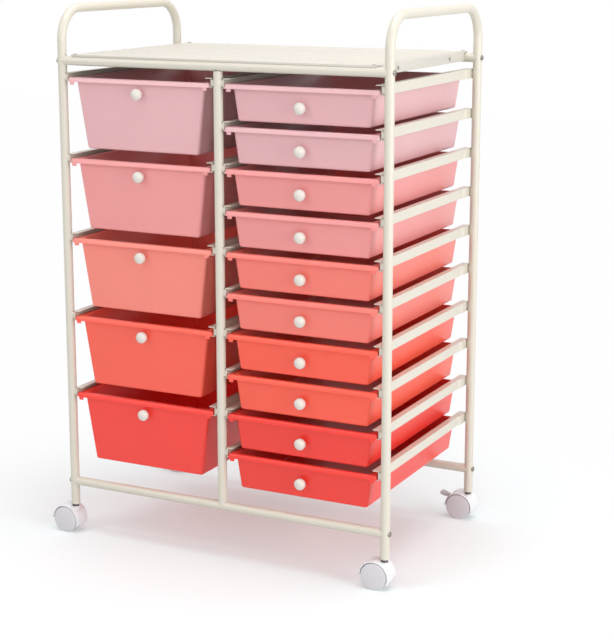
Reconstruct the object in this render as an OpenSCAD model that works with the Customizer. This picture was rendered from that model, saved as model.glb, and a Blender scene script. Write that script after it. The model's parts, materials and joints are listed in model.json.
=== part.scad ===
/* [Overall] */
// Distance between the side posts, left to right, centre to centre
post_span = 619; // [580:1:680]
// Distance between the front and rear posts, centre to centre
post_depth = 384; // [350:1:430]
// Height of the centre line of the handle tubes
handle_z = 946.5; // [830:0.5:1060]
// Height of the handle tubes above the top bars
handle_rise = 88.5; // [70:0.5:130]
// Height of the centre line of the bottom bars
bottom_bar_z = 96.5; // [88:0.5:110]
// Height of the lower end of the side posts
post_foot_z = 55.5; // [54.5:0.5:58]

/* [Tubes] */
// Outside diameter of every frame tube
tube_d = 16; // [15:0.25:17]
// Wall of the frame tube
tube_wall = 1.2; // [0.9:0.1:1.8]
// Centre line radius of the handle bends
bend_r = 54; // [40:1:64]
// Gap between a coped tube end and the tube it meets
cope_gap = 0.05; // [0.02:0.01:0.2]
// Length of the threaded insert in a bar end
insert_len = 14; // [10:1:20]
// Gap between an insert or plug and the tube around it
insert_fit = 0.05; // [0.02:0.01:0.1]
// Distance from the post face back to the insert
insert_back = 2; // [1:0.5:4]
// Length of the insert in the top of a centre post
spigot_body = 16; // [10:1:24]
// Diameter of its spigot, which enters the top bar
spigot_d = 8; // [6:0.5:9]
// How far the spigot stands above the post
spigot_len = 6; // [4:0.5:8]

/* [Frame screws] */
// Shank diameter of the frame screws
screw_d = 5.5; // [4:0.25:6.5]
// Head diameter of the frame screws
screw_head_d = 9.5; // [8:0.25:12]
// Height of the domed head above the post
screw_head_t = 2.8; // [2:0.1:4]
// Radial gap of a screw in its hole
screw_fit = 0.06; // [0.02:0.01:0.1]

// Length of the arms of the cross recess, tip to tip
recess_w = 4.6; // [4:0.2:6]
// Width of the arms of the cross recess
recess_t = 1.2; // [0.8:0.1:1.6]
// Depth of the cross recess
recess_depth = 1.7; // [1.5:0.1:2]

/* [Rails] */
// Depth of the underside of the top rails below the top bars
rail_drop = 36; // [32:0.5:60]
// Height of the underside of the lowest rails above the bottom bars
rail_rise = 91; // [84:0.5:120]
// Height of the folded rail
rail_h = 16.5; // [13:0.5:18]
// Thickness of the rail strip
rail_t = 1.2; // [0.8:0.1:1.6]
// Width of the rail flanges from the outer face of the web
rail_reach = 11.5; // [9:0.25:13]
// Gap between the web and the post at the front
rail_standoff = 3; // [2:0.25:4]
// Gap between the web and the post behind the joggle
rail_rear_gap = 0.4; // [0.2:0.1:1]
// How far the rail reaches past the centre of the front post
rail_front_lap = 3.5; // [2:0.5:4]
// How far the rail reaches past the centre of the rear post
rail_rear_lap = 4; // [3.5:0.5:8]
// Distance from the rear post to the start of the joggle
joggle_back = 34; // [24:1:60]
// Length of the joggle
joggle_len = 8; // [4:1:14]
// Width of the weld pads that join rail and post
pad_w = 6; // [4:0.5:7]
// Height of the weld pads
pad_h = 10; // [6:0.5:12]

/* [Drawers] */
// Headroom from a small drawer to the level below it
small_gap = 9.5; // [8:0.5:22]
// Headroom from a large drawer to the level below it
large_gap = 18; // [9:0.5:40]
// Play between the drawer lip and the rail web, each side
lip_play = 1.55; // [0.8:0.05:2.5]
// Gap between the drawer lip and the lower rail flange
lip_lift = 0.3; // [0.2:0.05:0.8]
// Height of the turned-down side lips
lip_h = 6.5; // [4:0.25:8]
// Height of the front rim
front_rim_h = 8; // [7:0.25:11]
// Thickness of the rim
rim_t = 2; // [1.4:0.1:2.6]
// Plan radius of the rim corners
rim_r = 3; // [2.5:0.25:5]
// How far the front rim stands in front of the post centres
rim_lead = 7; // [6.5:0.25:10]
// Distance from the rear of the rim to the rear post centres
rim_rear = 4; // [2:0.5:12]
// Distance from the front of the rim to the front wall
front_ledge = 7; // [5:0.25:9]
// Distance from the rear of the rim to the rear wall
rear_ledge = 5; // [4:0.25:9]
// Gap between the tub and the tips of the rail flanges
mouth_gap = 3.5; // [2:0.25:6]
// Draft of the side walls in degrees
side_draft = 8.1; // [4:0.1:10]
// Draft of the front and rear walls in degrees
end_draft = 2.2; // [1:0.1:4]
// Wall of the tub
wall_t = 2; // [1.5:0.1:2.6]
// Radius of the upright corners of the tub
corner_r = 6; // [4:0.5:18]
// Bevel between the walls and the floor of the tub
floor_bevel = 3.5; // [2.6:0.1:5]
// Width of the stop tabs below the front rim
tab_w = 8; // [6:0.5:9.5]
// Drop of the stop tabs below the front rim
tab_h = 4.7; // [3:0.1:6]
// Distance from the end of the rim to the stop tab
tab_inset = 5; // [3.5:0.25:6.5]

/* [Knobs] */
// Diameter of the knob
knob_d = 19.5; // [16:0.5:22]
// Overall length of the knob
knob_len = 16.5; // [14:0.5:20]
// Diameter of the knob neck
knob_neck_d = 9; // [8:0.25:11]
// Length of the straight knob neck
knob_neck_len = 3.2; // [2:0.2:4.5]
// Length of the flare between neck and head
knob_flare = 3; // [2:0.2:4]
// Radius of the domed knob face
knob_dome_r = 13; // [11.5:0.5:20]
// Depth of a small drawer's knob below the rim
small_knob_drop = 34; // [28:0.5:38]
// Depth of a large drawer's knob below the rim
large_knob_drop = 24; // [22:0.5:60]
// Shank diameter of the knob screw
knob_screw_d = 3.5; // [3:0.1:4]
// Length of the screw inside the knob
knob_screw_in = 9; // [6:0.5:11]
// Head diameter of the knob screw
knob_screw_head_d = 7.5; // [6:0.25:9]
// Height of the knob screw head
knob_screw_head_t = 2.2; // [1.5:0.1:3]
// Radial gap of the knob screw
knob_screw_fit = 0.05; // [0.02:0.01:0.1]

/* [Shelf] */
// Distance from the post centres to the ends of the shelf
shelf_inset = 21.5; // [18:0.5:30]
// How far the shelf reaches past the centres of the top bars
shelf_lap = 5; // [3:0.5:8]
// Thickness of the shelf panel
shelf_t = 2.6; // [1.5:0.1:4]
// Gap between the panel and the top bars
shelf_seat = 0.05; // [0.02:0.01:0.3]
// Thickness of the lips along the front and rear edges
shelf_lip_t = 1.2; // [0.8:0.1:2]
// Gap between the lips and the top bars
shelf_lip_gap = 0.1; // [0.05:0.05:0.3]
// Height of the end skirts including the panel
skirt_h = 16.5; // [14:0.5:18]
// Gap between the skirts and the top bars
skirt_gap = 0.5; // [0.2:0.1:2]
// Number of pressed grooves across the panel
groove_n = 9; // [3:1:15]
// Width of a groove
groove_w = 2.4; // [1:0.2:5]
// Depth of a groove
groove_t = 0.6; // [0.3:0.1:1]
// Distance from the shelf end to the corner screws
shelf_screw_in = 6; // [5:0.5:12]
// Distance of the skirt screws from the middle of the skirt
skirt_screw_y = 112; // [60:1:150]
// Depth of the skirt screws below the top of the panel
skirt_screw_drop = 9; // [7.5:0.25:10]
// Size of the screw block behind the skirt
skirt_block = 11; // [9.5:0.5:12]
// Shank diameter of the shelf screws
shelf_screw_d = 3.8; // [3:0.1:4.5]
// Head diameter of the shelf screws
shelf_screw_head_d = 7; // [6:0.25:9]
// Height of the shelf screw heads
shelf_screw_head_t = 1.6; // [1:0.1:2.4]
// Shank length of the shelf screws below the head
shelf_screw_len = 9; // [7:0.5:10]

/* [Casters] */
// Wheel diameter
wheel_d = 47; // [44:0.5:47.5]
// Width of one wheel
wheel_w = 10.4; // [8:0.2:12]
// Side gap between wheel and caster web
wheel_gap = 0.4; // [0.3:0.05:0.8]
// Distance from the stem back to the axle
caster_trail = 14; // [12.5:0.5:16]
// Radial gap between wheel and hood
hood_gap = 1.5; // [0.8:0.1:1.8]
// Thickness of the hood
hood_t = 2; // [1.6:0.1:2.6]
// Overall width of the hood
hood_w = 34; // [32:0.5:40]
// Chamfer of the hood edges
hood_edge = 1.1; // [0.5:0.1:1.4]
// Width of the web between the wheels
web_w = 12; // [11:0.5:14]
// Radius of the axle boss on the web
hub_r = 7; // [5.5:0.5:8]
// Angle below the axle where the hood ends on the stem side
hood_front_angle = 26; // [10:1:35]
// Diameter of the axle pin
axle_d = 6; // [5:0.25:7]
// Radial running gap on the axle
axle_fit = 0.06; // [0.03:0.01:0.1]
// Radial gap of the pressed axle in the web
press_fit = 0.02; // [0.01:0.01:0.05]
// Wall of the wheel outside the axle end
wheel_cap = 1.6; // [1:0.1:2.5]
// Edge chamfer of the wheel
wheel_edge = 0.7; // [0.5:0.1:2.5]
// Rise of the domed outer face of the wheel
wheel_dome = 1.6; // [0.5:0.1:2.5]
// Depth of the recess on the inner side of the wheel
wheel_recess = 6; // [3:0.5:7]
// Wall around the wheel recess
wheel_rim = 3.5; // [2.5:0.25:5]

/* [Caster stems] */
// Diameter of the stem
stem_d = 8; // [7:0.25:8.5]
// Radial running gap of the stem in the hood
stem_fit = 0.06; // [0.03:0.01:0.1]
// Diameter of the stem flange
stem_flange_d = 11; // [10:0.25:13]
// Height of the top of the hood collar
collar_z = 47.2; // [47:0.2:48]
// Diameter of the hood collar
collar_d = 13; // [12:0.25:15]
// Gap between hood collar and stem flange
collar_gap = 0.3; // [0.2:0.05:0.6]
// Depth of the stem in the hood
stem_in = 20; // [14:1:22]
// Length of the stem above its flange
stem_up = 24; // [18:1:30]
// Height of the flange of the post plug
plug_flange = 3; // [2:0.25:3.5]
// Length of the plug inside the post
plug_len = 28; // [24:1:32]

/* [Brake levers] */
// Distance of the lever pivot behind the axle
pivot_back = 14; // [13:0.5:15]
// Height of the lever pivot above the axle
pivot_up = 12.5; // [12:0.5:13.5]
// Width of the lever arm
arm_w = 7.6; // [6:0.2:8]
// Side gap between the arm and its slot
arm_gap = 0.5; // [0.3:0.05:0.8]
// Width of the pedal
pedal_w = 14; // [10:0.5:18]
// Length of the pedal beyond the hood
pedal_len = 12; // [8:0.5:16]
// Thickness of the pedal
pedal_t = 5; // [4:0.25:6]
// Diameter of the lever pin
pin_d = 3; // [2.5:0.1:3.5]
// Reach of the lever body around its pin
lever_eye = 4; // [3.5:0.1:4.4]

/* [Hidden] */
$fn = 96;
SMALL_N = 10;
LARGE_N = 5;
CORNER_FN = 24;
DOME_STEPS = 5;
half_span = post_span / 2;
half_depth = post_depth / 2;
bay_x = half_span / 2;
tube_r = tube_d / 2;
bore_r = tube_r - tube_wall;
top_bar_z = handle_z - handle_rise;
top_rail_z = top_bar_z - rail_drop;
level_pitch = (top_rail_z - bottom_bar_z - rail_rise) / (SMALL_N - 1);
small_h = level_pitch - small_gap;
large_h = 2 * level_pitch - large_gap;
handle_half = half_depth - bend_r;
bend_z = handle_z - bend_r;
eps = 0.01;
over = 1;

web_out = tube_r + rail_standoff;
web_in = web_out + rail_t;
web_rear_out = tube_r + rail_rear_gap;
flange_tip = web_out + rail_reach;
rail_front_y = -half_depth - rail_front_lap;
rail_rear_y = half_depth + rail_rear_lap;
joggle_y = half_depth - joggle_back;

rim_half = bay_x - web_in - lip_play;
tub_half = bay_x - flange_tip - mouth_gap;
rim_front_y = -half_depth - rim_lead;
rim_back_y = half_depth - rim_rear;
tub_front_y = rim_front_y + front_ledge;
tub_back_y = rim_back_y - rear_ledge;
rim_top = top_rail_z + rail_t + lip_lift + lip_h;

axle_z = wheel_d / 2;
pocket_r = wheel_d / 2 + hood_gap;
hood_r = pocket_r + hood_t;
wheel_in = web_w / 2 + wheel_gap;
wheel_out = wheel_in + wheel_w;
axle_half = wheel_out - wheel_cap - wheel_gap;
flange_z = collar_z + collar_gap;
plug_z = post_foot_z - plug_flange;

shelf_z = top_bar_z + tube_r + shelf_seat;
shelf_top = shelf_z + shelf_t;
shelf_half = half_span - shelf_inset;
shelf_y = half_depth + shelf_lap;
lip_reach = min(shelf_lap - shelf_lip_t, tube_r);
shelf_lip_h = max(tube_r + shelf_seat - sqrt(tube_r * tube_r - lip_reach * lip_reach) - shelf_lip_gap, 0.1);
skirt_y = half_depth - tube_r - skirt_gap;

FRAME_COLOR = "#EBE6DC";
KNOB_COLOR = "#F3F0EA";
CASTER_COLOR = "#EFEDEE";
STEEL_COLOR = "#8A8684";
LARGE_COLORS = ["#E3B5B8", "#E89C9C", "#F18F82", "#F9695B", "#F24D48"];
SMALL_COLORS = ["#DCAFB4", "#DCAFB4", "#E6908F", "#E6908F", "#EF827A",
                "#EF827A", "#F5604F", "#F5604F", "#EC4A42", "#EC4A42"];

module rrect(x0, x1, y0, y1, r) {
    translate([x0 + r, y0]) square([x1 - x0 - 2 * r, y1 - y0]);
    translate([x0, y0 + r]) square([x1 - x0, y1 - y0 - 2 * r]);
    for (x = [x0 + r, x1 - r], y = [y0 + r, y1 - r]) translate([x, y]) circle(r);
}

module across(w) rotate([90, 0, 0]) linear_extrude(w, center = true) children();

module bar_along_x(x0, x1, r) translate([x0, 0, 0]) rotate([0, 90, 0]) cylinder(r = r, h = x1 - x0);

// ---- side frames -------------------------------------------------------------------

module hoop(r, foot) {
    for (y = [-half_depth, half_depth])
        translate([0, y, foot]) cylinder(r = r, h = bend_z - foot);
    for (s = [-1, 1])
        translate([0, s * handle_half, bend_z]) rotate([0, -90, 0]) rotate([0, 0, s > 0 ? 0 : -90])
            rotate_extrude(angle = 90) translate([bend_r, 0]) circle(r);
    translate([0, -handle_half, handle_z]) rotate([-90, 0, 0]) cylinder(r = r, h = 2 * handle_half);
}

module side_frame(s) {
    translate([s * half_span, 0, 0]) difference() {
        hoop(tube_r, post_foot_z);
        hoop(bore_r, post_foot_z - over);
        for (y = [-half_depth, half_depth], z = [bottom_bar_z, top_bar_z])
            translate([0, y, z]) bar_along_x(-tube_d, tube_d, screw_d / 2 + screw_fit);
    }
}

// ---- bars and centre posts ---------------------------------------------------------

module cross_bar(y, z, spigot) {
    translate([0, y, z]) difference() {
        bar_along_x(-half_span, half_span, tube_r);
        bar_along_x(-half_span - over, half_span + over, bore_r);
        for (s = [-1, 1])
            translate([s * half_span, 0, -tube_d]) cylinder(r = tube_r + cope_gap, h = 2 * tube_d);
        if (spigot)
            translate([0, 0, -tube_d]) cylinder(r = spigot_d / 2 + insert_fit, h = tube_d);
        if (spigot)
            for (s = [-1, 1])
                translate([s * (shelf_half - shelf_screw_in), 0, 0])
                    cylinder(r = shelf_screw_d / 2 + screw_fit, h = tube_d);
    }
}

module centre_post(y) {
    top = top_bar_z - tube_r - cope_gap;
    translate([0, y, 0]) difference() {
        translate([0, 0, bottom_bar_z]) cylinder(r = tube_r, h = top - bottom_bar_z);
        translate([0, 0, bottom_bar_z - over]) cylinder(r = bore_r, h = top - bottom_bar_z + 2 * over);
        translate([0, 0, bottom_bar_z]) bar_along_x(-tube_d, tube_d, tube_r + cope_gap);
    }
}

module tube_inserts() {
    r = bore_r - insert_fit;
    x0 = half_span - tube_r - insert_back - insert_len;
    for (s = [-1, 1], y = [-half_depth, half_depth], z = [bottom_bar_z, top_bar_z])
        translate([s * (x0 + insert_len / 2), y, z]) difference() {
            bar_along_x(-insert_len / 2, insert_len / 2, r);
            bar_along_x(-insert_len, insert_len, screw_d / 2 + screw_fit);
        }
    top = top_bar_z - tube_r - cope_gap;
    for (y = [-half_depth, half_depth]) translate([0, y, top]) {
        translate([0, 0, -spigot_body]) cylinder(r = r, h = spigot_body);
        cylinder(r = spigot_d / 2, h = spigot_len);
    }
}

module cross_recess(w) {
    for (a = [0, 90]) rotate([0, 0, a]) translate([-w / 2, -recess_t / 2, -recess_depth])
        cube([w, recess_t, recess_depth + over]);
}

module screw_dome(t) {
    dome_r = (pow(screw_head_d / 2, 2) + pow(t, 2)) / (2 * t);
    intersection() {
        translate([t - dome_r, 0, 0]) rotate([0, 90, 0]) sphere(dome_r);
        bar_along_x(0, t + over, screw_head_d / 2);
    }
}

module frame_screw() {
    shank = tube_r + insert_back + insert_len - over;
    bar_along_x(-shank, tube_r + screw_head_t / 4, screw_d / 2);
    difference() {
        union() {
            bar_along_x(tube_r / 2, tube_r + screw_head_t / 2, screw_head_d / 2);
            translate([tube_r + screw_head_t / 2, 0, 0]) screw_dome(screw_head_t / 2);
        }
        translate([0, 0, -tube_r]) cylinder(r = tube_r + cope_gap, h = tube_d);
        translate([tube_r + screw_head_t, 0, 0]) rotate([0, 90, 0]) cross_recess(recess_w);
    }
}

module frame_screws() {
    for (s = [-1, 1], y = [-half_depth, half_depth], z = [bottom_bar_z, top_bar_z])
        translate([s * half_span, y, z]) rotate([0, 0, s > 0 ? 0 : 180]) frame_screw();
}

// ---- rails -------------------------------------------------------------------------

module rail_web_plan() {
    polygon([
        [web_out, rail_front_y], [web_in, rail_front_y],
        [web_in, joggle_y], [web_rear_out + rail_t, joggle_y + joggle_len],
        [web_rear_out + rail_t, rail_rear_y], [web_rear_out, rail_rear_y],
        [web_rear_out, joggle_y + joggle_len], [web_out, joggle_y]]);
}

module rail_flange_plan() {
    polygon([
        [web_out, rail_front_y], [flange_tip, rail_front_y],
        [flange_tip, rail_rear_y], [web_rear_out, rail_rear_y],
        [web_rear_out, joggle_y + joggle_len], [web_out, joggle_y]]);
}

module rail() {
    linear_extrude(rail_h) rail_web_plan();
    for (z = [0, rail_h - rail_t]) translate([0, 0, z]) linear_extrude(rail_t) rail_flange_plan();
    difference() {
        union() {
            translate([0, -half_depth - pad_w / 2, (rail_h - pad_h) / 2])
                cube([web_out, pad_w, pad_h]);
            translate([0, half_depth - pad_w / 2, (rail_h - pad_h) / 2])
                cube([web_rear_out, pad_w, pad_h]);
        }
        for (y = [-half_depth, half_depth])
            translate([0, y, -over]) cylinder(r = tube_r, h = rail_h + 2 * over);
    }
}

module rail_stack(x, s, n, pitch) {
    for (i = [0 : n - 1])
        translate([x, 0, top_rail_z - i * pitch]) mirror([s > 0 ? 0 : 1, 0, 0]) rail();
}

module left_bay_rails() {
    rail_stack(-half_span, 1, LARGE_N, 2 * level_pitch);
    rail_stack(0, -1, LARGE_N, 2 * level_pitch);
}

module right_bay_rails() {
    rail_stack(0, 1, SMALL_N, level_pitch);
    rail_stack(half_span, -1, SMALL_N, level_pitch);
}

// ---- drawers -----------------------------------------------------------------------

module tub_slab(depth, inset, t) {
    a = tub_half - depth * tan(side_draft) - inset;
    y0 = tub_front_y + depth * tan(end_draft) + inset;
    y1 = tub_back_y - depth * tan(end_draft) - inset;
    r = max(corner_r - inset, wall_t / 4);
    translate([0, 0, -depth]) linear_extrude(t)
        for (x = [-a + r, a - r], y = [y0 + r, y1 - r]) translate([x, y]) circle(r, $fn = CORNER_FN);
}

module tub_outside(h) hull() {
    tub_slab(rim_t, 0, rim_t / 2);
    tub_slab(h - floor_bevel, 0, floor_bevel / 8);
    tub_slab(h, floor_bevel * 0.8, floor_bevel / 8);
}

module tub_inside(h) hull() {
    tub_slab(0, wall_t, over);
    tub_slab(h - floor_bevel, wall_t, floor_bevel / 8);
    tub_slab(h - wall_t, wall_t + floor_bevel * 0.5, floor_bevel / 8);
}

module rim_ring() {
    translate([0, 0, -lip_h]) linear_extrude(lip_h) difference() {
        rrect(-rim_half, rim_half, rim_front_y, rim_back_y, rim_r);
        translate([-rim_half + rim_t, rim_front_y + rim_t])
            square([2 * (rim_half - rim_t), rim_back_y - rim_front_y - 2 * rim_t]);
    }
    translate([0, 0, -rim_t]) linear_extrude(rim_t)
        rrect(-rim_half, rim_half, rim_front_y, rim_back_y, rim_r);
    translate([-rim_half + rim_r, rim_front_y, -front_rim_h])
        cube([2 * (rim_half - rim_r), rim_t, front_rim_h - rim_t]);
    for (s = [-1, 1])
        translate([s * (rim_half - tab_inset - tab_w / 2) - tab_w / 2, rim_front_y, -front_rim_h - tab_h])
            cube([tab_w, rim_t, front_rim_h + tab_h - rim_t]);
}

module at_knob(h_drop) {
    translate([0, tub_front_y + h_drop * tan(end_draft), -h_drop]) rotate([90 + end_draft, 0, 0]) children();
}

module drawer(h, drop) {
    difference() {
        union() {
            tub_outside(h);
            rim_ring();
        }
        tub_inside(h);
        at_knob(drop) translate([0, 0, -2 * wall_t])
            cylinder(r = knob_screw_d / 2 + 2 * knob_screw_fit, h = 4 * wall_t);
    }
}

function large_top(i) = rim_top - (i - 1) * 2 * level_pitch;
function small_top(i) = rim_top - (i - 1) * level_pitch;

module large_drawer(i) color(LARGE_COLORS[i - 1])
    translate([-bay_x, 0, large_top(i)]) drawer(large_h, large_knob_drop);

module small_drawer(i) color(SMALL_COLORS[i - 1])
    translate([bay_x, 0, small_top(i)]) drawer(small_h, small_knob_drop);

// ---- knobs -------------------------------------------------------------------------

module knob_turning() {
    head_r = knob_d / 2;
    dome_c = knob_len - knob_dome_r;
    neck_end = knob_neck_len + knob_flare;
    cylinder(r = knob_neck_d / 2, h = knob_neck_len);
    translate([0, 0, knob_neck_len]) cylinder(r1 = knob_neck_d / 2, r2 = head_r, h = knob_flare);
    intersection() {
        translate([0, 0, neck_end]) cylinder(r = head_r, h = knob_len - neck_end);
        translate([0, 0, dome_c]) sphere(knob_dome_r);
    }
}

module knob_pair() {
    grip = wall_t / cos(end_draft);
    difference() {
        knob_turning();
        translate([0, 0, -over])
            cylinder(r = knob_screw_d / 2 + knob_screw_fit, h = knob_screw_in + over + knob_screw_fit);
    }
    translate([0, 0, -grip]) cylinder(r = knob_screw_d / 2, h = knob_screw_in + grip);
    translate([0, 0, -grip - knob_screw_head_t]) cylinder(r = knob_screw_head_d / 2, h = knob_screw_head_t);
}

module large_knob(i) color(KNOB_COLOR)
    translate([-bay_x, 0, large_top(i)]) at_knob(large_knob_drop) knob_pair();

module small_knob(i) color(KNOB_COLOR)
    translate([bay_x, 0, small_top(i)]) at_knob(small_knob_drop) knob_pair();

// ---- shelf -------------------------------------------------------------------------

module top_shelf() {
    groove_step = 2 * (shelf_y - tube_r) / (groove_n + 1);
    difference() {
        union() {
            translate([-shelf_half, -shelf_y, shelf_z]) cube([2 * shelf_half, 2 * shelf_y, shelf_t]);
            for (s = [-1, 1])
                translate([-shelf_half, s * (shelf_y - shelf_lip_t / 2) - shelf_lip_t / 2,
                           shelf_z - shelf_lip_h])
                    cube([2 * shelf_half, shelf_lip_t, shelf_lip_h + shelf_t / 2]);
            for (s = [-1, 1])
                translate([s * (shelf_half - shelf_t / 2) - shelf_t / 2, -skirt_y, shelf_top - skirt_h])
                    cube([shelf_t, 2 * skirt_y, skirt_h]);
            for (s = [-1, 1], y = [-skirt_screw_y, skirt_screw_y])
                translate([s * (shelf_half - skirt_block / 2) - skirt_block / 2, y - skirt_block / 2,
                           shelf_top - skirt_screw_drop - skirt_block / 2])
                    cube([skirt_block, skirt_block, skirt_screw_drop + skirt_block / 2 - shelf_t / 2]);
        }
        for (i = [1 : groove_n])
            translate([-shelf_half - over, -shelf_y + tube_r + i * groove_step - groove_w / 2,
                       shelf_top - groove_t])
                cube([2 * (shelf_half + over), groove_w, groove_t + over]);
        for (s = [-1, 1], y = [-half_depth, half_depth])
            translate([s * (shelf_half - shelf_screw_in), y, shelf_z - over])
                cylinder(r = shelf_screw_d / 2 + screw_fit, h = shelf_t + 2 * over);
        for (s = [-1, 1], y = [-skirt_screw_y, skirt_screw_y])
            translate([s * shelf_half, y, shelf_top - skirt_screw_drop])
                bar_along_x(-shelf_screw_len - over, shelf_screw_len, shelf_screw_d / 2 + screw_fit);
    }
}

module shelf_screw() {
    difference() {
        union() {
            translate([0, 0, -shelf_screw_len]) cylinder(r = shelf_screw_d / 2, h = shelf_screw_len);
            cylinder(r = shelf_screw_head_d / 2, h = shelf_screw_head_t / 2);
            translate([0, 0, shelf_screw_head_t / 2])
                cylinder(r1 = shelf_screw_head_d / 2, r2 = shelf_screw_head_d / 3,
                         h = shelf_screw_head_t / 2);
        }
        translate([0, 0, shelf_screw_head_t]) cross_recess(shelf_screw_head_d / 2);
    }
}

module shelf_screws() {
    for (s = [-1, 1], y = [-half_depth, half_depth])
        translate([s * (shelf_half - shelf_screw_in), y, shelf_top]) shelf_screw();
    for (s = [-1, 1], y = [-skirt_screw_y, skirt_screw_y])
        translate([s * shelf_half, y, shelf_top - skirt_screw_drop]) rotate([0, s * 90, 0]) shelf_screw();
}

// ---- casters -----------------------------------------------------------------------

module at_caster(sx, sy) translate([sx * half_span, sy * half_depth, 0]) children();
module at_axle() translate([-caster_trail, 0, axle_z]) children();

module hood_section() {
    w = hood_w / 2;
    polygon([[0, -web_w / 2], [pocket_r, -web_w / 2], [pocket_r, -w], [hood_r - hood_edge, -w],
             [hood_r, -w + hood_edge], [hood_r, w - hood_edge], [hood_r - hood_edge, w],
             [pocket_r, w], [pocket_r, web_w / 2], [0, web_w / 2]]);
}

module hood_collar() {
    difference() {
        translate([0, 0, axle_z]) cylinder(r = collar_d / 2, h = collar_z - axle_z);
        for (s = [-1, 1]) at_axle() translate([0, s * (web_w / 2 + hood_w / 2), 0])
            across(hood_w) circle(pocket_r);
    }
}

module brake_slot() {
    slot_r = hood_r + hood_gap;
    across(arm_w + 2 * arm_gap) intersection() {
        difference() {
            circle(slot_r);
            circle(hub_r + hood_gap);
        }
        polygon([[0, 0], [-slot_r, 0], [-slot_r, slot_r], [-slot_r / 2.4, slot_r], [0, hub_r / 2]]);
    }
}

module caster_hood(braked) {
    difference() {
        union() {
            at_axle() rotate([90, 0, 0]) rotate([0, 0, -hood_front_angle])
                rotate_extrude(angle = 180 + hood_front_angle) hood_section();
            at_axle() across(web_w) circle(hub_r);
            hood_collar();
        }
        translate([0, 0, flange_z - stem_in]) cylinder(r = stem_d / 2 + stem_fit, h = stem_in);
        translate([0, 0, collar_z]) cylinder(r = collar_d / 2 + collar_gap, h = hood_r);
        at_axle() across(2 * hood_w) circle(axle_d / 2 + press_fit);
        if (braked) at_axle() brake_slot();
        if (braked) at_axle() translate([-pivot_back, 0, pivot_up])
            across(hood_w) circle(pin_d / 2 + axle_fit);
    }
    at_axle() across(2 * axle_half) circle(axle_d / 2);
}

function dome_z(share) = wheel_w + wheel_dome * (1 - pow(share, 2));

module wheel_section() {
    r = wheel_d / 2;
    tread = [[0, 0], [r - wheel_edge / 2, 0], [r, wheel_edge / 2], [r, wheel_w - wheel_edge]];
    face = [for (i = [0 : DOME_STEPS]) let (q = 1 - i / DOME_STEPS) [q * (r - wheel_edge), dome_z(q)]];
    difference() {
        polygon(concat(tread, face));
        translate([-over, -over]) square([over + axle_d / 2 + axle_fit, over + wheel_w - wheel_cap]);
        translate([hub_r, -over]) square([r - wheel_rim - hub_r, over + wheel_recess]);
    }
}

module caster_wheel(side) {
    at_axle() translate([0, side * wheel_in, 0]) rotate([side > 0 ? -90 : 90, 0, 0])
        rotate_extrude() wheel_section();
}

module lever_profile() {
    out = hood_r + pedal_len;
    lift = lever_eye + over;
    polygon([[-pivot_back + lever_eye, pivot_up - lever_eye + over],
             [-pivot_back + lever_eye / 2, pivot_up + lever_eye],
             [-pivot_back - lever_eye, pivot_up + lift], [-out, pivot_up + lift + pedal_t],
             [-out, pivot_up + lift], [-pivot_back - lift - over, pivot_up - over],
             [-pivot_back, pivot_up - lever_eye]]);
}

module brake_lever() {
    at_axle() {
        across(arm_w) lever_profile();
        across(pedal_w) intersection() {
            lever_profile();
            translate([-2 * hood_r, 0]) square([hood_r - 2, 2 * hood_r]);
        }
        translate([-pivot_back, 0, pivot_up]) across(web_w) circle(pin_d / 2);
    }
}

module caster_stems() {
    for (sx = [-1, 1], sy = [-1, 1]) at_caster(sx, sy) {
        translate([0, 0, flange_z - stem_in + collar_gap]) cylinder(r = stem_d / 2, h = stem_in);
        translate([0, 0, flange_z]) cylinder(r = stem_flange_d / 2, h = plug_z - flange_z);
        translate([0, 0, plug_z]) cylinder(r = stem_d / 2, h = stem_up);
    }
}

module post_plugs() {
    for (sx = [-1, 1], sy = [-1, 1]) at_caster(sx, sy) translate([0, 0, plug_z]) difference() {
        union() {
            cylinder(r = tube_r, h = plug_flange);
            cylinder(r = bore_r - insert_fit, h = plug_flange + plug_len);
        }
        translate([0, 0, -over]) cylinder(r = stem_d / 2 + press_fit, h = stem_up + over + stem_fit);
    }
}

// ---- nodes -------------------------------------------------------------------------

color(FRAME_COLOR) side_frame(-1);  // left_side_frame
color(FRAME_COLOR) side_frame(1);  // right_side_frame
color(FRAME_COLOR) cross_bar(-half_depth, top_bar_z, true);  // top_front_bar
color(FRAME_COLOR) cross_bar(half_depth, top_bar_z, true);  // top_rear_bar
color(FRAME_COLOR) cross_bar(-half_depth, bottom_bar_z, false);  // bottom_front_bar
color(FRAME_COLOR) cross_bar(half_depth, bottom_bar_z, false);  // bottom_rear_bar
color(FRAME_COLOR) centre_post(-half_depth);  // centre_front_post
color(FRAME_COLOR) centre_post(half_depth);  // centre_rear_post
color(STEEL_COLOR) tube_inserts();
color(FRAME_COLOR) frame_screws();
color(FRAME_COLOR) left_bay_rails();
color(FRAME_COLOR) right_bay_rails();
color(FRAME_COLOR) top_shelf();
color(STEEL_COLOR) shelf_screws();
color(CASTER_COLOR) post_plugs();
color(STEEL_COLOR) caster_stems();
color(CASTER_COLOR) at_caster(-1, -1) caster_hood(false);  // front_left_hood
color(CASTER_COLOR) at_caster(1, -1) caster_hood(false);  // front_right_hood
color(CASTER_COLOR) at_caster(-1, 1) caster_hood(true);  // rear_left_hood
color(CASTER_COLOR) at_caster(1, 1) caster_hood(true);  // rear_right_hood
color(CASTER_COLOR) at_caster(-1, -1) caster_wheel(-1);  // front_left_wheel_a
color(CASTER_COLOR) at_caster(-1, -1) caster_wheel(1);  // front_left_wheel_b
color(CASTER_COLOR) at_caster(1, -1) caster_wheel(-1);  // front_right_wheel_a
color(CASTER_COLOR) at_caster(1, -1) caster_wheel(1);  // front_right_wheel_b
color(CASTER_COLOR) at_caster(-1, 1) caster_wheel(-1);  // rear_left_wheel_a
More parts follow.
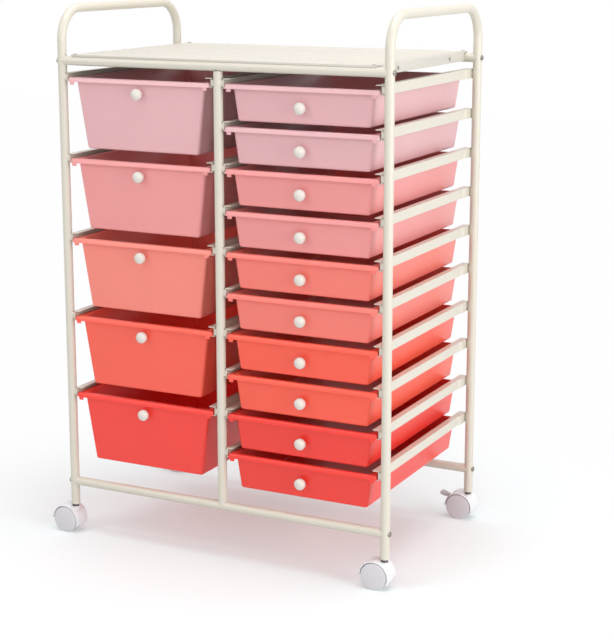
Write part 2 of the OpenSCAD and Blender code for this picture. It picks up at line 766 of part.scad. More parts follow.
color(CASTER_COLOR) at_caster(-1, 1) caster_wheel(1);  // rear_left_wheel_b
color(CASTER_COLOR) at_caster(1, 1) caster_wheel(-1);  // rear_right_wheel_a
color(CASTER_COLOR) at_caster(1, 1) caster_wheel(1);  // rear_right_wheel_b
color(STEEL_COLOR) at_caster(-1, 1) brake_lever();  // rear_left_brake
color(STEEL_COLOR) at_caster(1, 1) brake_lever();  // rear_right_brake
large_drawer(1);  // large_drawer_1
large_drawer(2);  // large_drawer_2
large_drawer(3);  // large_drawer_3
large_drawer(4);  // large_drawer_4
large_drawer(5);  // large_drawer_5
small_drawer(1);  // small_drawer_1
small_drawer(2);  // small_drawer_2
small_drawer(3);  // small_drawer_3
small_drawer(4);  // small_drawer_4
small_drawer(5);  // small_drawer_5
small_drawer(6);  // small_drawer_6
small_drawer(7);  // small_drawer_7
small_drawer(8);  // small_drawer_8
small_drawer(9);  // small_drawer_9
small_drawer(10);  // small_drawer_10
large_knob(1);  // large_knob_1
large_knob(2);  // large_knob_2
large_knob(3);  // large_knob_3
large_knob(4);  // large_knob_4
large_knob(5);  // large_knob_5
small_knob(1);  // small_knob_1
small_knob(2);  // small_knob_2
small_knob(3);  // small_knob_3
small_knob(4);  // small_knob_4
small_knob(5);  // small_knob_5
small_knob(6);  // small_knob_6
small_knob(7);  // small_knob_7
small_knob(8);  // small_knob_8
small_knob(9);  // small_knob_9
small_knob(10);  // small_knob_10
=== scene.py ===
"""Looks of a wheeled drawer cart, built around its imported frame.

Laid out as an add-on and run as a script. The frame comes from the CAD model and is
never changed: its nodes get finishes, and the drawers, knobs, wheels and small fittings
that need softer forms are modelled here and stand for their nodes.
"""

import json
import math

import bmesh
import bpy
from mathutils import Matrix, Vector

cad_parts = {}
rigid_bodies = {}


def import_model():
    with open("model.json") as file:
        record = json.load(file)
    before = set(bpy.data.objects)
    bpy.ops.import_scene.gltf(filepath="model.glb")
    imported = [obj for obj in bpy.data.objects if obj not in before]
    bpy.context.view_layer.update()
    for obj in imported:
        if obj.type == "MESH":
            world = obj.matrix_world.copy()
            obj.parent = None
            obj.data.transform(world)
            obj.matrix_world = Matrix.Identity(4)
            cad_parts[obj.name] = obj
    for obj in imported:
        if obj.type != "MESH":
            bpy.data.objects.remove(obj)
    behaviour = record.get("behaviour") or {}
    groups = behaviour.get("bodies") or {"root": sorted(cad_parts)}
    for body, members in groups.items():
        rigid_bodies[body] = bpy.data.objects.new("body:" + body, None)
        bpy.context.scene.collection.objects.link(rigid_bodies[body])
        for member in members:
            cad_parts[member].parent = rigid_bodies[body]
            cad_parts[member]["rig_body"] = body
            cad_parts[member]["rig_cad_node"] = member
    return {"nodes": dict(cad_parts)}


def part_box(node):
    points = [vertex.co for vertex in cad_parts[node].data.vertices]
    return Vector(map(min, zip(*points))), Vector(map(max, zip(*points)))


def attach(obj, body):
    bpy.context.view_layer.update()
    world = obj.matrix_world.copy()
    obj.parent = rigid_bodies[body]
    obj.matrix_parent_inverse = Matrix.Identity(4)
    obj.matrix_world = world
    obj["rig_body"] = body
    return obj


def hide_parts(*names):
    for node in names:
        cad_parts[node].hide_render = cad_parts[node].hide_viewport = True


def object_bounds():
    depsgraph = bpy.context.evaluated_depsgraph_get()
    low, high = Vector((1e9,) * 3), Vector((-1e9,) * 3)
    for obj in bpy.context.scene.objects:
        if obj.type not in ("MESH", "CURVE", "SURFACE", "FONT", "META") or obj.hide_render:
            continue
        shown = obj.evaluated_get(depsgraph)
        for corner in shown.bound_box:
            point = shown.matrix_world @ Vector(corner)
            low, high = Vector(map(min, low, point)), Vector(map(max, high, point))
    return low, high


bl_info = {
    "name": "Drawer Cart",
    "version": (1, 0, 0),
    "blender": (4, 5, 0),
    "location": "View3D > Sidebar > Drawer Cart",
    "description": "Finishes and moulded pieces of a wheeled drawer cart",
    "category": "Object",
}

MM = 0.001

# Picture frame and film of the camera.
PICTURE_HEIGHT = 640
FILM_MM = 36.0

# Angles along a quarter round, and steps round a corner of the drawer.
QUARTER = [math.radians(a) for a in (0, 22.5, 45, 67.5, 90)]
CORNER_STEPS = 8
# Smallest plan radius of a corner that is moved inwards.
SHARPEST = 0.4 * MM
# Points closer than this are one point: on a piece made here, and on a copied node.
MERGE = 0.01 * MM
MERGE_COPY = 0.005 * MM
# Edges sharper than this are shaded hard, and rounded on a copied node.
HARD_ANGLE = math.radians(35)
# Edges of a drawer sharper than this are rounded.
DRAWER_HARD_ANGLE = math.radians(40)
# Faces closer to flat than this are one face.
FLAT_ANGLE = math.radians(0.5)
# A face whose normal has more of Z than this lies flat.
LEVEL = 0.9

# Rounding of the moulded edges, in millimetres.
KNOB_EDGE, HOOD_EDGE, WHEEL_EDGE, PEDAL_EDGE, SHELF_EDGE = 0.7, 0.4, 0.3, 0.6, 0.6

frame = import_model()
CAD_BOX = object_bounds()


# ---- colours and measures ------------------------------------------------------------


def linear(hex_code):
    """An sRGB hex value as the linear colour that Blender works in."""
    channels = [int(hex_code[i : i + 2], 16) / 255 for i in (1, 3, 5)]
    return [c / 12.92 if c <= 0.04045 else ((c + 0.055) / 1.055) ** 2.4 for c in channels]


def per_mm(size):
    """Pattern scale at which one feature is size millimetres wide."""
    return 1 / (size * MM)


# Plastics of the deep and the shallow drawers, from the top down.
LARGE_COLOURS = ["#E5B1B4", "#ED9A98", "#F98A7C", "#FF6350", "#FB4238"]
SMALL_COLOURS = ["#E0ADB0", "#E0ADB0", "#EC9593", "#EC9593", "#F67C70",
                 "#F67C70", "#FD5E49", "#FD5E49", "#F23D33", "#F23D33"]
# Zinc of the caster stems, and the brighter zinc of the screws.
STEM_ZINC, SCREW_ZINC = "#6E6866", "#9C9892"
LARGE = [f"large_drawer_{i + 1}" for i in range(len(LARGE_COLOURS))]
SMALL = [f"small_drawer_{i + 1}" for i in range(len(SMALL_COLOURS))]
CORNERS = ["front_left", "front_right", "rear_left", "rear_right"]
TUBES = ["left_side_frame", "right_side_frame", "top_front_bar", "top_rear_bar",
         "bottom_front_bar", "bottom_rear_bar", "centre_front_post", "centre_rear_post"]


def size_prop(name, text, value):
    """A length that is shown in the scene's units; value is in millimetres."""
    return bpy.props.FloatProperty(name=name, description=text, default=value * MM,
                                   min=0.0, unit="LENGTH", precision=4)


def colour_prop(name, text, hex_code):
    """A colour that is shown as a swatch."""
    return bpy.props.FloatVectorProperty(name=name, description=text, subtype="COLOR",
                                         default=linear(hex_code), min=0.0, max=1.0)


class CartSizes(bpy.types.PropertyGroup):
    """Sizes of the moulded pieces."""

    wall: size_prop("Wall", "Thickness of the drawer's wall and rim", 2.0)
    lip: size_prop("Side lip", "Drop of the turned-down side lips", 6.5)
    front_lip: size_prop("Front lip", "Drop of the front lip", 8.0)
    tab_drop: size_prop("Stop tab", "Drop of the stop tabs below the front lip", 4.7)
    tab_width: size_prop("Stop tab width", "Width of the stop tabs", 8.0)
    tab_inset: size_prop("Stop tab inset", "Distance from the end of the rim to a stop tab", 5.0)
    rim_radius: size_prop("Rim corner", "Plan radius of the rim corners", 3.0)
    tub_radius: size_prop("Tub corner", "Plan radius of the tub corners", 6.0)
    side_ledge: size_prop("Side ledge", "Rim width outside the side walls", 12.25)
    front_ledge: size_prop("Front ledge", "Rim width outside the front wall", 7.0)
    rear_ledge: size_prop("Rear ledge", "Rim width outside the rear wall", 5.0)
    floor_radius: size_prop("Floor radius", "Radius between the walls and the floor", 3.5)
    roll: size_prop("Roll", "Rounding over the outer edge of the rim", 3.0)
    lip_lean: size_prop("Lip lean", "How far the lips lean in at the roll", 1.3)
    edge: size_prop("Edge", "Rounding of the moulded edges", 0.5)
    side_draft: bpy.props.FloatProperty(
        name="Side draft", description="Lean of the side walls", subtype="ANGLE",
        default=math.radians(8.1))
    end_draft: bpy.props.FloatProperty(
        name="End draft", description="Lean of the front and rear walls", subtype="ANGLE",
        default=math.radians(2.2))


class CartColours(bpy.types.PropertyGroup):
    """Colours of the finishes."""

    frame: colour_prop("Frame", "Powder coat of the tubes and rails", "#D1CABC")
    shelf: colour_prop("Shelf", "Moulded shelf panel", "#CBC5BB")
    knob: colour_prop("Knobs", "Moulded knobs", "#D9D2C9")
    hood: colour_prop("Hoods", "Caster hoods", "#E1E0E3")
    wheel: colour_prop("Wheels", "Caster wheels", "#D2CED1")
    brake: colour_prop("Brake levers", "Brake levers", "#BDB8BC")
    floor: colour_prop("Floor", "Studio floor", "#EEF6F7")
    floor_bounce: colour_prop("Floor bounce", "Light that the floor throws back", "#D2DCDE")
    backdrop: colour_prop("Backdrop", "Studio backdrop", "#FFFEFF")


class CartCamera(bpy.types.PropertyGroup):
    """Where the camera stands, and how it looks."""

    place: bpy.props.FloatVectorProperty(
        name="Place", description="Camera position", subtype="TRANSLATION", unit="LENGTH",
        default=(1.339, -2.534, 1.055))
    yaw: bpy.props.FloatProperty(
        name="Yaw", description="Turn to the left of straight ahead", subtype="ANGLE",
        default=math.radians(26.638))
    pitch: bpy.props.FloatProperty(
        name="Pitch", description="Tilt below the horizon", subtype="ANGLE",
        default=math.radians(12.029))
    focal_px: bpy.props.FloatProperty(
        name="Focal length", description="Focal length in picture heights times 640",
        default=1624.0)
    shift_px: bpy.props.FloatProperty(
        name="Shift", description="Downward shift of the picture in its own pixels",
        default=30.0)


# ---- materials -----------------------------------------------------------------------


def add_node(tree, kind, settings=None, **inputs):
    """Adds one shader node. An input is a value, or (node, output name) to link from.

    An input is named by its socket, with _ for a space, or by its number, as in _0.
    """
    node = tree.nodes.new(kind)
    for key, value in (settings or {}).items():
        setattr(node, key, value)
    for key, value in inputs.items():
        socket = node.inputs[int(key[1:]) if key[1:].isdigit() else key.replace("_", " ")]
        if isinstance(value, tuple) and isinstance(value[0], bpy.types.Node):
            tree.links.new(value[0].outputs[value[1]], socket)
        else:
            socket.default_value = value
    return node


def surface(name, colour, roughness, tone, tone_mm, grain_mm, grain_um, stretch=(1, 1, 1),
            **shader):
    """A moulded, painted or plated surface.

    tone is how far the colour drifts over tone_mm, and grain_um the height of a grain
    that is grain_mm wide. shader holds constants for the shader's own sockets.
    """
    made = bpy.data.materials.new(name)
    made.use_nodes = True
    tree = made.node_tree
    tree.nodes.clear()
    place = add_node(tree, "ShaderNodeTexCoord")
    turned = add_node(tree, "ShaderNodeMapping", Vector=(place, "Object"), Scale=stretch)
    drift = add_node(tree, "ShaderNodeTexNoise", Vector=(turned, "Vector"),
                     Scale=per_mm(tone_mm), Detail=2.0)
    dark = [c * (1 - tone) for c in colour] + [1]
    light = [min(1, c * (1 + tone)) for c in colour] + [1]
    mix = add_node(tree, "ShaderNodeMix", {"data_type": "RGBA"}, Factor=(drift, "Fac"),
                   _6=dark, _7=light)
    grain = add_node(tree, "ShaderNodeTexNoise", Vector=(turned, "Vector"),
                     Scale=per_mm(grain_mm), Detail=1.0)
    gloss = add_node(tree, "ShaderNodeMapRange", Value=(grain, "Fac"),
                     To_Min=roughness * 0.9, To_Max=roughness * 1.1)
    bump = add_node(tree, "ShaderNodeBump", Height=(grain, "Fac"), Strength=1.0,
                    Distance=grain_um * MM * MM)
    bsdf = add_node(tree, "ShaderNodeBsdfPrincipled", Base_Color=(mix, 2),
                    Roughness=(gloss, "Result"), Normal=(bump, "Normal"), **shader)
    add_node(tree, "ShaderNodeOutputMaterial", Surface=(bsdf, "BSDF"))
    return made


def powder_coat(colour):
    # Powder-coated steel: baked paint with a faint orange peel that softens highlights.
    return surface("powder_coated_steel", colour, roughness=0.36, tone=0.012, tone_mm=70,
                   grain_mm=1.6, grain_um=14, IOR=1.5, Coat_Weight=0.15, Coat_Roughness=0.2)


def moulded_polypropylene(name, colour):
    # Moulded polypropylene: waxy and satin, with slow flow marks and a fine mould grain.
    return surface(name, colour, roughness=0.3, tone=0.022, tone_mm=45, grain_mm=1.2,
                   grain_um=9, stretch=(1, 1, 0.5), IOR=1.49, Subsurface_Weight=0.4,
                   Subsurface_Scale=0.005, Subsurface_Radius=(1.0, 0.65, 0.6))


def shelf_panel(colour):
    # Moulded panel: a grained face that keeps the glare off the shelf.
    return surface("moulded_panel", colour, roughness=0.5, tone=0.012, tone_mm=80,
                   grain_mm=1.4, grain_um=12, IOR=1.49)


def glossy_abs(name, colour):
    # Moulded ABS: hard and bright, with small clear highlights.
    return surface(name, colour, roughness=0.24, tone=0.008, tone_mm=12, grain_mm=2.0,
                   grain_um=4, IOR=1.54, Coat_Weight=0.2, Coat_Roughness=0.1)


def nylon(name, colour):
    # Moulded nylon: a dull, slightly mottled tread and disc.
    return surface(name, colour, roughness=0.45, tone=0.02, tone_mm=9, grain_mm=1.0,
                   grain_um=8, IOR=1.53)


def zinc_plate(name, colour):
    # Zinc-plated steel: cloudy bright metal with turned marks round the part.
    return surface(name, colour, roughness=0.34, tone=0.08, tone_mm=3, grain_mm=0.8,
                   grain_um=6, stretch=(1, 1, 4), Metallic=1.0)


def set_finish(node, material):
    """Gives a CAD node's object one material in all its slots."""
    for slot in frame["nodes"][node].material_slots:
        slot.material = material


# ---- modelling helpers ---------------------------------------------------------------


def start_piece(name, add, **where):
    """Adds a primitive with nothing else selected, and opens it for shaping."""
    if bpy.context.mode != "OBJECT":
        bpy.ops.object.mode_set(mode="OBJECT")
    bpy.ops.object.select_all(action="DESELECT")
    add(**where)
    piece = bpy.context.object
    piece.name = name
    piece.data.name = name
    bpy.ops.object.mode_set(mode="EDIT")
    return piece


def pick(piece, test, kind="FACE"):
    """Selects the faces, edges or points that pass a test, and nothing else."""
    bpy.context.tool_settings.mesh_select_mode = (kind == "VERT", kind == "EDGE", kind == "FACE")
    form = bmesh.from_edit_mesh(piece.data)
    for part in [*form.faces, *form.edges, *form.verts]:
        part.select = False
    rows = {"VERT": form.verts, "EDGE": form.edges, "FACE": form.faces}[kind]
    found = [part for part in rows if test(part)]
    for part in found:
        part.select_set(True)
    form.select_flush_mode()
    bmesh.update_edit_mesh(piece.data)
    return len(found)


def close_piece(piece, material):
    """Ends the shaping: merges doubles, turns faces outward and shades the curves smooth."""
    bpy.ops.mesh.select_all(action="SELECT")
    bpy.ops.mesh.remove_doubles(threshold=MERGE)
    bpy.ops.mesh.normals_make_consistent(inside=False)
    bpy.ops.object.mode_set(mode="OBJECT")
    bpy.ops.object.transform_apply(location=True, rotation=True, scale=True)
    bpy.ops.object.shade_smooth_by_angle(angle=HARD_ANGLE)
    piece.data.materials.clear()
    piece.data.materials.append(material)
    return piece


def lift(distance):
    """Extrudes the selected cap along Z."""
    bpy.ops.mesh.extrude_region_move(TRANSFORM_OT_translate={"value": (0, 0, distance)})


def copy_piece(piece, name, shift):
    """Another piece with its own mesh, moved by shift."""
    bpy.ops.object.select_all(action="DESELECT")
    piece.select_set(True)
    bpy.context.view_layer.objects.active = piece
    bpy.ops.object.duplicate(linked=False)
    made = bpy.context.object
    made.name = name
    made.data.name = name
    bpy.ops.transform.translate(value=shift)
    bpy.ops.object.transform_apply(location=True, rotation=True, scale=True)
    return made


def softened(node, material, width, name, segments=2):
    """A copy of a CAD node with its doubles merged and its hard edges rounded."""
    if bpy.context.mode != "OBJECT":
        bpy.ops.object.mode_set(mode="OBJECT")
    source = frame["nodes"][node]
    made = source.copy()
    made.data = source.data.copy()
    made.name = name
    made.data.name = name
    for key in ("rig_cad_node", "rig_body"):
        if key in made:
            del made[key]
    bpy.context.scene.collection.objects.link(made)
    made.parent = None
    bpy.ops.object.select_all(action="DESELECT")
    made.select_set(True)
    bpy.context.view_layer.objects.active = made
    bpy.ops.object.mode_set(mode="EDIT")
    bpy.ops.mesh.select_all(action="SELECT")
    bpy.ops.mesh.customdata_custom_splitnormals_clear()
    bpy.ops.mesh.remove_doubles(threshold=MERGE_COPY)
    bpy.ops.mesh.dissolve_limited(angle_limit=FLAT_ANGLE)
    bpy.ops.object.mode_set(mode="OBJECT")
    round_off = made.modifiers.new("edges", "BEVEL")
    round_off.width = width * MM
    round_off.segments = segments
    round_off.limit_method = "ANGLE"
    round_off.angle_limit = HARD_ANGLE
    round_off.use_clamp_overlap = True
    round_off.harden_normals = False
    bpy.ops.object.modifier_apply(modifier=round_off.name)
    bpy.ops.object.shade_smooth_by_angle(angle=HARD_ANGLE)
    made.data.materials.clear()
    made.data.materials.append(material)
    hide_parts(node)
    return made


def settle(piece, body):
    """The piece rides with its body."""
    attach(piece, body)


# ---- drawers -------------------------------------------------------------------------


class Ring:
    """A rounded rectangle at one height: the outline of the drawer at one level."""

    def __init__(self, half_x, front, back, radius, height):
        self.half_x, self.front, self.back = half_x, front, back
        self.radius, self.height = radius, height

    def inset(self, by, height=None):
        """The same outline, by closer in on every side."""
        return Ring(self.half_x - by, self.front + by, self.back - by,
                    max(self.radius - by, SHARPEST), self.height if height is None else height)

    def centre(self, sx, sy):
        """Middle of one corner's arc."""
        y = self.back - self.radius if sy > 0 else self.front + self.radius
        return Vector((sx * (self.half_x - self.radius), y, self.height))


def drawer_rings(sizes, half_x, front, back, depth):
    """Outlines from the underside of the floor up, round the rim and down to the floor."""
    rim = Ring(half_x, front, back, sizes.rim_radius, 0.0)
    wall, soft = sizes.wall, sizes.floor_radius

    def tub(down, by=0.0):
        side, end = math.tan(sizes.side_draft) * down, math.tan(sizes.end_draft) * down
        return Ring(half_x - sizes.side_ledge - side - by, front + sizes.front_ledge + end + by,
                    back - sizes.rear_ledge - end - by, sizes.tub_radius - by, -down)

    def fillet(bottom, by, radius):
        return [tub(bottom - radius * (1 - math.cos(a)), by + radius * (1 - math.sin(a)))
                for a in QUARTER]

    def roll(radius):
        return [rim.inset(sizes.lip_lean + radius * (1 - math.cos(a)),
                          -radius * (1 - math.sin(a))) for a in QUARTER]

    outside = fillet(depth, 0.0, soft)
    inside = fillet(depth - wall, wall, soft - wall / 2)
    return [*outside, tub(wall), rim.inset(wall, -wall), rim.inset(wall, -sizes.lip),
            rim.inset(0.0, -sizes.lip), *roll(sizes.roll), tub(0.0, wall), *reversed(inside)]


def model_drawer(name, sizes, box, material):
    """A drafted tub with round corners and a turned-down rim, modelled at its place."""
    low, high = box
    centre_x = (low.x + high.x) / 2
    rings = drawer_rings(sizes, (high.x - low.x) / 2, low.y, high.y, high.z - low.z)
    first = rings[0]
    piece = start_piece(name, bpy.ops.mesh.primitive_plane_add, size=1.0, location=(0, 0, 0))
    middle_y = (first.front + first.back) / 2
    bpy.ops.transform.resize(value=(2 * first.half_x, first.back - first.front, 1))
    bpy.ops.transform.translate(value=(0, middle_y, first.height))
    bpy.ops.mesh.bevel(offset=first.radius, segments=CORNER_STEPS, profile=0.5,
                       affect="VERTICES")
    at = first
    for ring in rings[1:]:
        lift(ring.height - at.height)
        form = bmesh.from_edit_mesh(piece.data)
        cap = [v.index for v in form.verts if v.select]
        for sx in (-1, 1):
            for sy in (-1, 1):
                centre = at.centre(sx, sy)
                mid = (at.front + at.back) / 2
                chosen = set(cap)
                pick(piece, lambda v, c=chosen, sx=sx, sy=sy, m=mid: v.index in c
                     and v.co.x * sx > 0 and (v.co.y - m) * sy > 0, "VERT")
                grow = ring.radius / at.radius
                bpy.ops.transform.resize(value=(grow, grow, 1),
                                         center_override=(centre.x, centre.y, ring.height))
                move = ring.centre(sx, sy) - centre
                bpy.ops.transform.translate(value=(move.x, move.y, 0))
        chosen = set(cap)
        pick(piece, lambda f, c=chosen: all(v.index in c for v in f.verts), "FACE")
        at = ring
    deepen_front(piece, sizes, rings[-1], low, high)
    bpy.ops.mesh.select_all(action="SELECT")
    bpy.ops.mesh.normals_make_consistent(inside=False)
    bpy.context.tool_settings.mesh_select_mode = (False, True, False)
    bpy.ops.mesh.select_all(action="DESELECT")
    bpy.ops.mesh.edges_select_sharp(sharpness=DRAWER_HARD_ANGLE)
    bpy.ops.mesh.bevel(offset=sizes.edge, segments=2, profile=0.5, affect="EDGES",
                       clamp_overlap=True)
    bpy.ops.mesh.select_all(action="SELECT")
    bpy.ops.transform.translate(value=(centre_x, 0, high.z))
    return close_piece(piece, material)


def deepen_front(piece, sizes, last, low, high):
    """The front lip hangs lower than the side lips, and carries a stop tab at each end."""
    half_x = (high.x - low.x) / 2
    near = low.y + sizes.wall + 0.1 * MM

    def strip(face, height):
        return abs(face.normal.z) > LEVEL and all(
            abs(v.co.z - height) < MERGE and v.co.y < near for v in face.verts)

    pick(piece, lambda f: strip(f, -sizes.lip))
    lift(sizes.lip - sizes.front_lip)
    outer = half_x - sizes.tab_inset
    inner = outer - sizes.tab_width
    for cut in (-outer, -inner, inner, outer):
        pick(piece, lambda f: strip(f, -sizes.front_lip))
        bpy.ops.mesh.bisect(plane_co=(cut, 0, 0), plane_no=(1, 0, 0))
    pick(piece, lambda f: strip(f, -sizes.front_lip)
         and inner < abs(f.calc_center_median().x) < outer)
    lift(-sizes.tab_drop)


class CART_OT_drawers(bpy.types.Operator):
    """Models the deep and the shallow drawer, and copies each to its levels"""

    bl_idname = "cart.drawers"
    bl_label = "Drawers"

    def execute(self, context):
        sizes = context.scene.cart_sizes
        for names, colours in ((LARGE, LARGE_COLOURS), (SMALL, SMALL_COLOURS)):
            first = None
            for name, hex_code in zip(names, colours):
                plastic = moulded_polypropylene(f"polypropylene_{name}", linear(hex_code))
                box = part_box(name)
                if first is None:
                    first, origin = model_drawer(f"{name}_tub", sizes, box, plastic), box[1]
                    piece = first
                else:
                    piece = copy_piece(first, f"{name}_tub", box[1] - origin)
                    piece.data.materials.clear()
                    piece.data.materials.append(plastic)
                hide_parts(name)
                settle(piece, name)
        return {"FINISHED"}


# ---- knobs ---------------------------------------------------------------------------


class CART_OT_knobs(bpy.types.Operator):
    """Finishes the turned knobs on the drawer fronts"""

    bl_idname = "cart.knobs"
    bl_label = "Knobs"

    def execute(self, context):
        gloss = glossy_abs("moulded_abs_knob", context.scene.cart_colours.knob)
        for drawer in LARGE + SMALL:
            knob = drawer.replace("drawer", "knob")
            piece = softened(knob, gloss, KNOB_EDGE, f"{knob}_turned", 3)
            settle(piece, drawer)
        return {"FINISHED"}


# ---- casters -------------------------------------------------------------------------


class CART_OT_casters(bpy.types.Operator):
    """Finishes the hoods, wheels, stems and brake levers"""

    bl_idname = "cart.casters"
    bl_label = "Casters"

    def execute(self, context):
        colours = context.scene.cart_colours
        hood = glossy_abs("moulded_abs_hood", colours.hood)
        wheel = nylon("moulded_nylon_wheel", colours.wheel)
        lever = nylon("moulded_nylon_lever", colours.brake)
        for corner in CORNERS:
            piece = softened(f"{corner}_hood", hood, HOOD_EDGE, f"{corner}_caster_hood")
            settle(piece, f"{corner}_caster")
            for side in "ab":
                node = f"{corner}_wheel_{side}"
                piece = softened(node, wheel, WHEEL_EDGE, f"{node}_disc")
                settle(piece, node)
            if corner.startswith("rear"):
                node = f"{corner}_brake"
                piece = softened(node, lever, PEDAL_EDGE, f"{node}_pedal")
                settle(piece, node)
        set_finish("caster_stems", zinc_plate("plated_steel_stem", linear(STEM_ZINC)))
        set_finish("post_plugs", nylon("moulded_plug", colours.frame))
        return {"FINISHED"}


# ---- frame ---------------------------------------------------------------------------


class CART_OT_frame(bpy.types.Operator):
    """Gives the tubes, rails, screws and shelf their finishes"""

    bl_idname = "cart.frame"
    bl_label = "Frame"

    def execute(self, context):
        colours = context.scene.cart_colours
        coat = powder_coat(colours.frame)
        for node in TUBES + ["left_bay_rails", "right_bay_rails"]:
            set_finish(node, coat)
        piece = softened("top_shelf", shelf_panel(colours.shelf), SHELF_EDGE, "shelf_panel")
        settle(piece, "frame")
        zinc = zinc_plate("zinc_plated_screw", linear(SCREW_ZINC))
        for node in ("frame_screws", "shelf_screws", "tube_inserts"):
            set_finish(node, zinc)
        return {"FINISHED"}


# ---- stage ---------------------------------------------------------------------------

# Soft boxes: name, place in metres, width in metres and watts.
SOFT_BOXES = [
    ("front_light", (-1.9, -3.0, 2.3), 1.8, 30),
    ("fill_light", (1.55, -2.95, 1.25), 1.0, 18),
    ("side_light", (3.3, -0.7, 1.1), 2.2, 64),
    ("top_light", (0.2, 0.0, 3.2), 2.6, 60),
]
# Middle of the cart, which the lamps look at.
AIM = (0, 0, 0.5)
# Strength of the world's even light.
AMBIENT = 0.51
FLOOR_SIDE = 14.0
# The shadow is whole up to the first distance and gone at the second; the last number is
# how far it is already faded under the cart.
SHADOW_FROM, SHADOW_TO, SHADOW_FADE = 0.36, 0.9, 0.3


def soft_box(name, place, width, watts):
    """A square studio light that looks at the middle of the cart."""
    data = bpy.data.lights.new(name, "AREA")
    data.size = width
    data.energy = watts
    lamp = bpy.data.objects.new(name, data)
    bpy.context.scene.collection.objects.link(lamp)
    lamp.location = place
    lamp.rotation_euler = (Vector(AIM) - Vector(place)).to_track_quat("-Z", "Y").to_euler()


def seen_directly(tree):
    """Light Path, and the node that is 1 for what the camera and gloss see."""
    rays = add_node(tree, "ShaderNodeLightPath")
    seen = add_node(tree, "ShaderNodeMath", {"operation": "MAXIMUM"},
                    _0=(rays, "Is Camera Ray"), _1=(rays, "Is Glossy Ray"))
    return rays, seen


def floor_material(colour, bounce, backdrop):
    # Studio floor: matt painted paper that fades into the white backdrop round the cart.
    # It throws back less light than it shows, so undersides stay shaded.
    made = surface("studio_floor_paper", colour, roughness=0.8, tone=0.002, tone_mm=400,
                   grain_mm=6, grain_um=2)
    tree = made.node_tree
    paper = next(n for n in tree.nodes if n.type == "BSDF_PRINCIPLED")
    ending = next(n for n in tree.nodes if n.type == "OUTPUT_MATERIAL")
    place = next(n for n in tree.nodes if n.type == "TEX_COORD")
    away = add_node(tree, "ShaderNodeVectorMath", {"operation": "LENGTH"}, _0=(place, "Object"))
    far = add_node(tree, "ShaderNodeMapRange", {"interpolation_type": "SMOOTHSTEP"},
                   Value=(away, "Value"), From_Min=SHADOW_FROM, From_Max=SHADOW_TO,
                   To_Min=SHADOW_FADE, To_Max=1.0)
    rays, seen = seen_directly(tree)
    own = paper.inputs["Base Color"].links[0].from_node
    thrown = add_node(tree, "ShaderNodeMix", {"data_type": "RGBA"}, Factor=(rays, "Is Diffuse Ray"),
                      _6=(own, 2), _7=[*bounce, 1])
    tree.links.new(thrown.outputs[2], paper.inputs["Base Color"])
    share = add_node(tree, "ShaderNodeMath", {"operation": "MULTIPLY"}, _0=(far, "Result"),
                     _1=(seen, "Value"))
    glow = add_node(tree, "ShaderNodeEmission", Color=[*backdrop, 1], Strength=1.0)
    mix = add_node(tree, "ShaderNodeMixShader", Fac=(share, "Value"), _1=(paper, "BSDF"),
                   _2=(glow, "Emission"))
    tree.links.new(mix.outputs["Shader"], ending.inputs["Surface"])
    return made


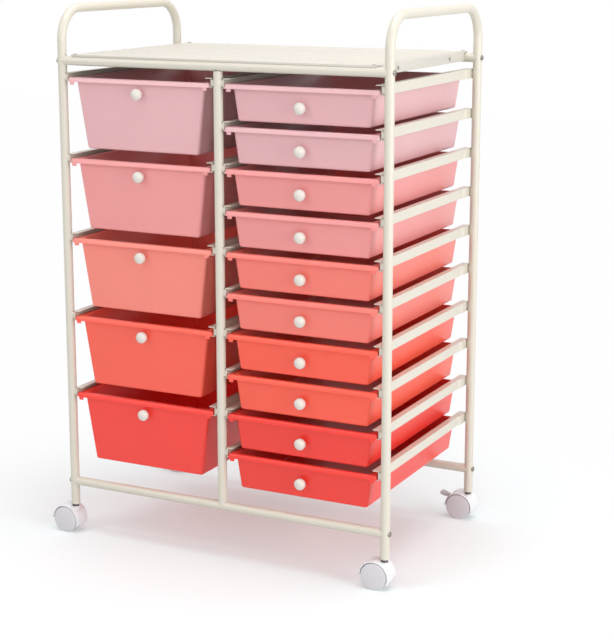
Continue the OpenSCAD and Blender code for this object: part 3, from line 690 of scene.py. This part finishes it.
class CART_OT_stage(bpy.types.Operator):
    """Sets up the floor, the soft lights and the camera"""

    bl_idname = "cart.stage"
    bl_label = "Stage"

    def execute(self, context):
        scene = context.scene
        floor = start_piece("studio_floor", bpy.ops.mesh.primitive_plane_add, size=FLOOR_SIDE,
                            location=(0, 0, CAD_BOX[0].z))
        bpy.ops.mesh.subdivide(number_cuts=3)
        colours = scene.cart_colours
        close_piece(floor, floor_material(colours.floor, colours.floor_bounce, colours.backdrop))
        for lamp in SOFT_BOXES:
            soft_box(*lamp)
        world = bpy.data.worlds.new("studio_world")
        scene.world = world
        world.use_nodes = True
        tree = world.node_tree
        tree.nodes.clear()
        _, seen = seen_directly(tree)
        dim = add_node(tree, "ShaderNodeBackground", Color=(1, 1, 1, 1), Strength=AMBIENT)
        full = add_node(tree, "ShaderNodeBackground", Color=(1, 1, 1, 1), Strength=1.0)
        both = add_node(tree, "ShaderNodeMixShader", Fac=(seen, "Value"), _1=(dim, "Background"),
                        _2=(full, "Background"))
        add_node(tree, "ShaderNodeOutputWorld", Surface=(both, "Shader"))
        look = scene.cart_camera
        data = bpy.data.cameras.new("photo_camera")
        data.sensor_width = FILM_MM
        data.lens = look.focal_px * FILM_MM / PICTURE_HEIGHT
        data.shift_y = -look.shift_px / PICTURE_HEIGHT
        camera = bpy.data.objects.new("photo_camera", data)
        scene.collection.objects.link(camera)
        camera.location = look.place
        ahead = Vector((-math.sin(look.yaw) * math.cos(look.pitch),
                        math.cos(look.yaw) * math.cos(look.pitch), -math.sin(look.pitch)))
        camera.rotation_euler = ahead.to_track_quat("-Z", "Y").to_euler()
        scene.camera = camera
        scene.view_settings.view_transform = "Standard"
        return {"FINISHED"}


# ---- panel and main ------------------------------------------------------------------

OPERATORS = [CART_OT_frame, CART_OT_drawers, CART_OT_knobs, CART_OT_casters, CART_OT_stage]


class CART_PT_panel(bpy.types.Panel):
    """Lists the steps that build the cart's looks"""

    bl_idname = "CART_PT_panel"
    bl_label = "Drawer Cart"
    bl_space_type = "VIEW_3D"
    bl_region_type = "UI"
    bl_category = "Drawer Cart"

    def draw(self, context):
        for operator in OPERATORS:
            self.layout.operator(operator.bl_idname)


GROUPS = {"cart_sizes": CartSizes, "cart_colours": CartColours, "cart_camera": CartCamera}
CLASSES = [*GROUPS.values(), *OPERATORS, CART_PT_panel]


def register():
    for cls in CLASSES:
        bpy.utils.register_class(cls)
    for name, group in GROUPS.items():
        setattr(bpy.types.Scene, name, bpy.props.PointerProperty(type=group))


def unregister():
    for name in GROUPS:
        delattr(bpy.types.Scene, name)
    for cls in reversed(CLASSES):
        bpy.utils.unregister_class(cls)


def main():
    register()
    for operator in OPERATORS:
        group, name = operator.bl_idname.split(".")
        getattr(getattr(bpy.ops, group), name)()


if __name__ == "__main__":
    main()
